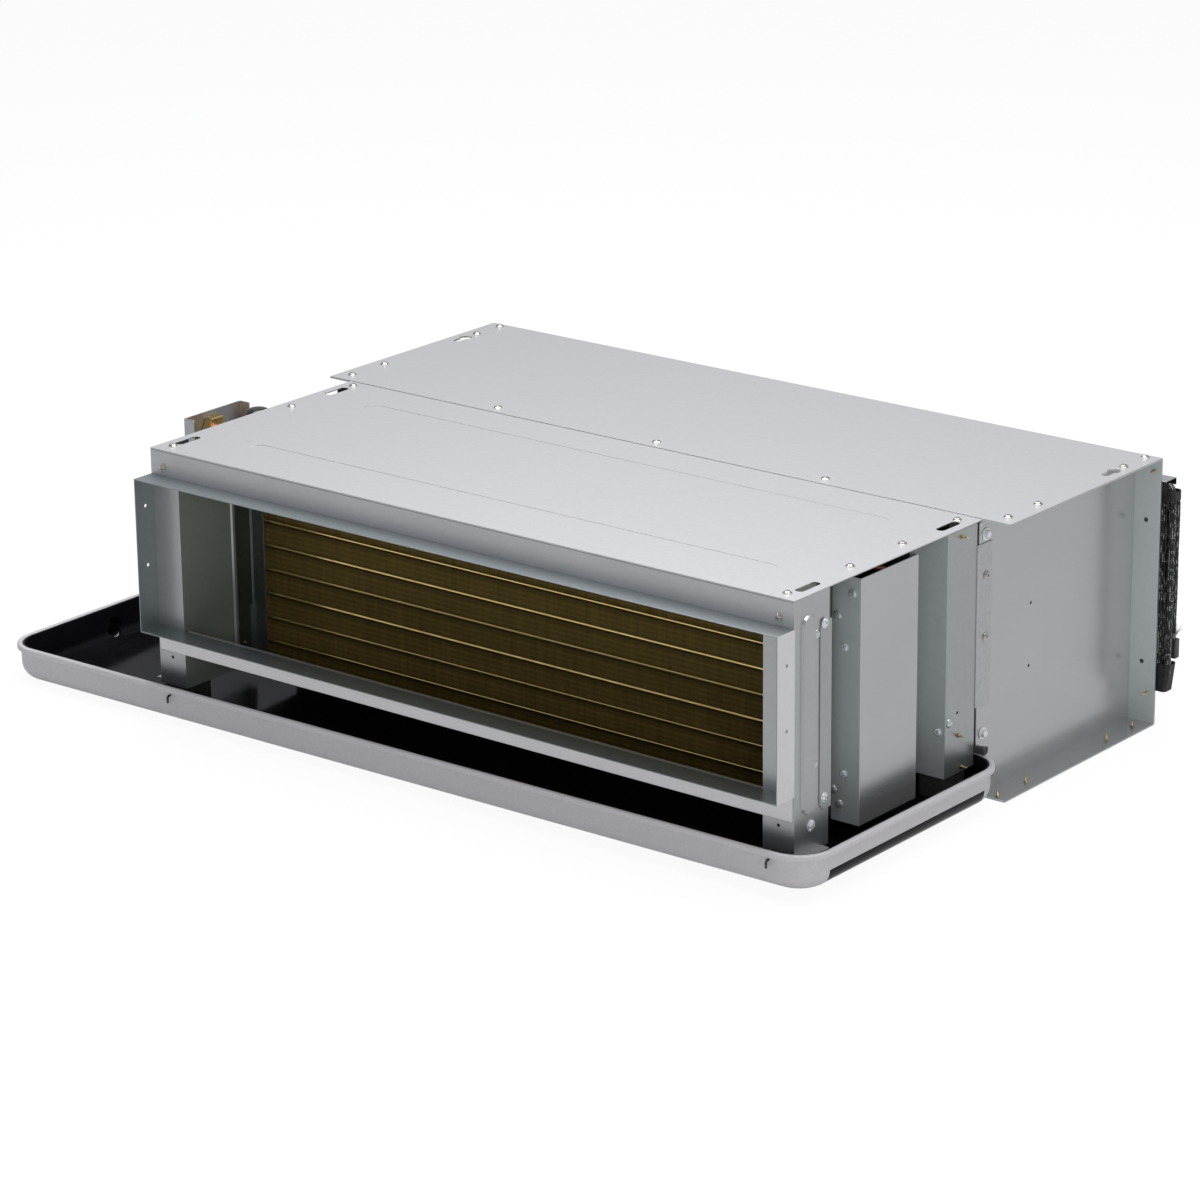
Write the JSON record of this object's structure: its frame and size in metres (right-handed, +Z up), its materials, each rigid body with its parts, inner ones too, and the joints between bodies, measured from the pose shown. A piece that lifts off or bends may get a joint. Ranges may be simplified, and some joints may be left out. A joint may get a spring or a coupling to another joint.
{
  "type": "fan coil unit",
  "caption": "Concealed ceiling fan coil unit: open coil box with discharge collar over a long drain pan, and a wider fan plenum behind with a return opening.",
  "frame": {"origin": "under the middle of the unit, on the plane that it stands on", "axes": "+X along the unit towards the end without water connections, +Y from the discharge collar back to the return opening, +Z up"},
  "size_m": [1.0528, 0.6329, 0.2782],
  "materials": {
    "galvanised_sheet": "galvanised, fine spangle, semi-gloss",
    "galvanised_cover": "galvanised cover sheet, light grey, semi-gloss",
    "pan_paint": "grey powder coat, satin",
    "pan_lining": "glossy black water-proof lining",
    "fin_foil": "gold coated aluminium foil",
    "copper_tube": "bright copper",
    "brass_fitting": "machined brass",
    "black_plastic": "glossy black",
    "rubber": "matt black rubber",
    "foam": "closed-cell black foam",
    "zinc_screw": "bright zinc",
    "wheel_steel": "galvanised steel",
    "motor_paint": "black enamel",
    "shaft_steel": "ground steel",
    "capacitor_case": "off-white plastic",
    "braided_sleeve": "black braided polyester sleeve",
    "tape": "black tape",
    "connector_plastic": "natural nylon"
  },
  "bodies": {
    "unit": {"front_post_right": "galvanised_sheet", "front_post_left": "galvanised_sheet", "post_closers": "galvanised_sheet", "coil_end_plates": "galvanised_sheet", "air_seal_strips": "galvanised_sheet", "coil_top_panel": "galvanised_cover", "back_post_right": "galvanised_sheet", "back_post_left": "galvanised_sheet", "discharge_collar": "galvanised_sheet", "lower_front_rail": "galvanised_sheet", "return_bend_cover": "galvanised_sheet", "coil_fin_pack": "fin_foil", "return_bends_right": "copper_tube", "return_bends_left": "copper_tube", "connection_plate": "galvanised_sheet", "supply_header": "copper_tube", "return_header": "copper_tube", "circuit_feeds": "copper_tube", "header_stubs": "copper_tube", "water_fittings": "brass_fitting", "header_cap": "black_plastic", "air_vent_body": "brass_fitting", "drain_pan": "pan_paint", "drain_pan_liner": "pan_lining", "pan_hooks": "zinc_screw", "pan_support_pads": "rubber", "plenum_top_cover": "galvanised_cover", "plenum_bottom_cover": "galvanised_cover", "plenum_side_right": "galvanised_sheet", "plenum_side_left": "galvanised_sheet", "fan_deck": "galvanised_sheet", "return_frame": "galvanised_sheet", "joint_straps": "galvanised_sheet", "plenum_seal": "foam", "scroll_housing_left": "galvanised_sheet", "scroll_housing_right": "galvanised_sheet", "fan_motor": "motor_paint", "motor_bracket": "galvanised_sheet", "motor_rubber_rings": "rubber", "capacitor": "capacitor_case", "capacitor_clip": "galvanised_sheet", "harness_grommet": "rubber", "harness_lead": "braided_sleeve", "harness_hank": "braided_sleeve", "harness_tape": "tape", "harness_clip": "galvanised_cover", "harness_connector": "connector_plastic", "coil_box_screws": "zinc_screw", "side_screws": "zinc_screw", "plenum_bolts": "zinc_screw", "plenum_screws": "zinc_screw", "plenum_rivets": "zinc_screw", "screw_tips": "zinc_screw"},
    "rotor": {"fan_shaft": "shaft_steel", "fan_wheel_left": "wheel_steel", "fan_wheel_right": "wheel_steel"},
    "vent_screw": {"air_vent_screw": "brass_fitting"}
  },
  "joints": [
    {"name": "fan_spin", "type": "hinge", "parent": "unit", "child": "rotor", "pos_m": [0.093, 0.1468, 0.122], "axis": [1, 0, 0], "continuous": true},
    {"name": "vent_turn", "type": "hinge", "parent": "unit", "child": "vent_screw", "pos_m": [-0.348, -0.0982, 0.205], "axis": [-1, 0, 0], "range_deg": [0, 540]}
  ]
}
